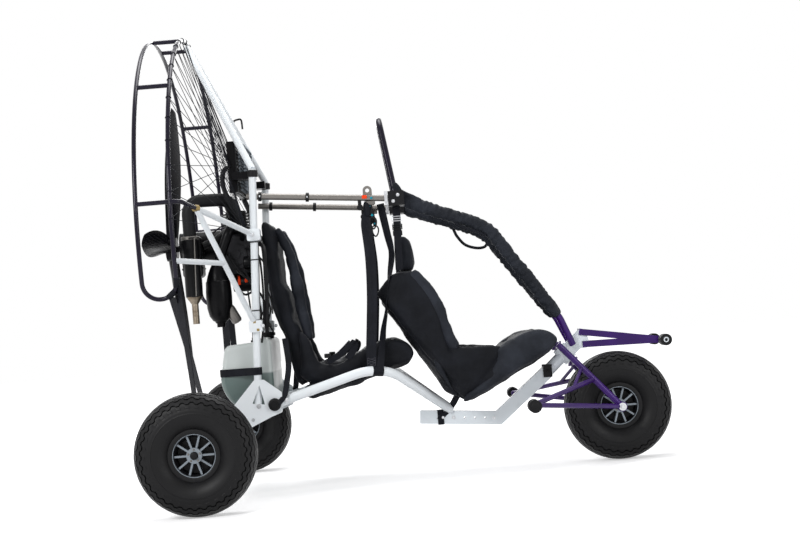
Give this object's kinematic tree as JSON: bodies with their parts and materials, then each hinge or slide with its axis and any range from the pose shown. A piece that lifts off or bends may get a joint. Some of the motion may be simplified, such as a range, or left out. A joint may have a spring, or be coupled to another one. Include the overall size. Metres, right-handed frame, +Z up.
{
  "type": "two-seat paramotor trike",
  "caption": "Three-wheeled tube-frame trike with two seats one behind the other and an open engine with a pusher propeller inside a hoop cage.",
  "frame": {"origin": "on the floor, midway between the axles and between the rear wheels", "axes": "+X forward along the trike, +Y to its left, +Z up"},
  "size_m": [2.08, 1.8688, 1.8734],
  "materials": {
    "tyre_rubber": "matte",
    "cast_grey": "satin cast",
    "white_paint": "gloss powder coat",
    "pale_paint": "satin powder coat",
    "brass": "satin",
    "dark_anodised": "gloss anodised",
    "violet_anodised": "gloss anodised",
    "grip_rubber": "matte",
    "bright_steel": "satin",
    "titanium_grey": "satin",
    "black_plastic": "matte",
    "black_cloth": "woven",
    "webbing": "woven",
    "tank_plastic": "translucent",
    "raw_aluminium": "cast",
    "black_paint": "satin",
    "carbon": "gloss"
  },
  "bodies": {
    "frame": {"arm_left": "titanium_grey", "arm_right": "titanium_grey", "cage_arms": "dark_anodised", "cage_braces_lower": "white_paint", "cage_braces_upper": "white_paint", "cage_front_hoop": "dark_anodised", "cage_rear_hoop": "dark_anodised", "cage_rungs": "dark_anodised", "cage_sleeves": "brass", "cage_straps": "webbing", "cage_struts": "white_paint", "engine_crankcase": "raw_aluminium", "engine_cross_tubes": "black_paint", "engine_cylinder": "black_paint", "engine_gearbox": "black_paint", "engine_plate": "raw_aluminium", "exhaust_chamber": "black_paint", "front_headrest": "black_cloth", "front_pad_left": "black_cloth", "front_pad_right": "black_cloth", "front_seat": "black_cloth", "front_tube_left": "violet_anodised", "front_tube_right": "violet_anodised", "fuel_tank": "tank_plastic", "gusset_plate_left": "white_paint", "gusset_plate_right": "white_paint", "hang_straps": "webbing", "intake_box": "black_plastic", "keel": "pale_paint", "mast_clamps": "white_paint", "mast_left": "white_paint", "mast_right": "white_paint", "nose_bar": "violet_anodised", "nose_grips": "grip_rubber", "radiator": "black_paint", "rear_axle": "bright_steel", "rear_seat": "black_cloth", "roll_bar": "dark_anodised", "shoulder_blocks": "black_plastic", "side_tube_left": "white_paint", "side_tube_right": "white_paint", "silencer": "black_paint", "silencer_elbow": "grip_rubber", "steering_head": "pale_paint", "tank_strap": "webbing", "upper_tube_left": "white_paint", "upper_tube_right": "white_paint"},
    "steered_fork": {"fork": "violet_anodised", "front_axle": "bright_steel", "peg_struts": "violet_anodised", "foot_pegs": "grip_rubber"},
    "front_wheel": {"front_tyre": "tyre_rubber", "front_rim": "cast_grey"},
    "rear_wheel_left": {"rear_tyre_left": "tyre_rubber", "rear_rim_left": "cast_grey"},
    "rear_wheel_right": {"rear_tyre_right": "tyre_rubber", "rear_rim_right": "cast_grey"},
    "rotor": {"propeller": "carbon"}
  },
  "joints": [
    {"name": "steering", "type": "hinge", "parent": "frame", "child": "steered_fork", "pos_m": [0.61726, 0, 0.45123], "axis": [-0.6587, 0, 0.7524], "range_deg": [-25, 25]},
    {"name": "front_wheel_spin", "type": "hinge", "parent": "steered_fork", "child": "front_wheel", "pos_m": [0.8175, 0, 0.2225], "axis": [0, 1, 0], "continuous": true},
    {"name": "rear_wheel_left_spin", "type": "hinge", "parent": "frame", "child": "rear_wheel_left", "pos_m": [-0.8175, 0.849, 0.2225], "axis": [0, 1, 0], "continuous": true},
    {"name": "rear_wheel_right_spin", "type": "hinge", "parent": "frame", "child": "rear_wheel_right", "pos_m": [-0.8175, -0.849, 0.2225], "axis": [0, 1, 0], "continuous": true},
    {"name": "propeller_spin", "type": "hinge", "parent": "frame", "child": "rotor", "pos_m": [-0.9675, 0, 1.014], "axis": [1, 0, 0], "continuous": true}
  ]
}
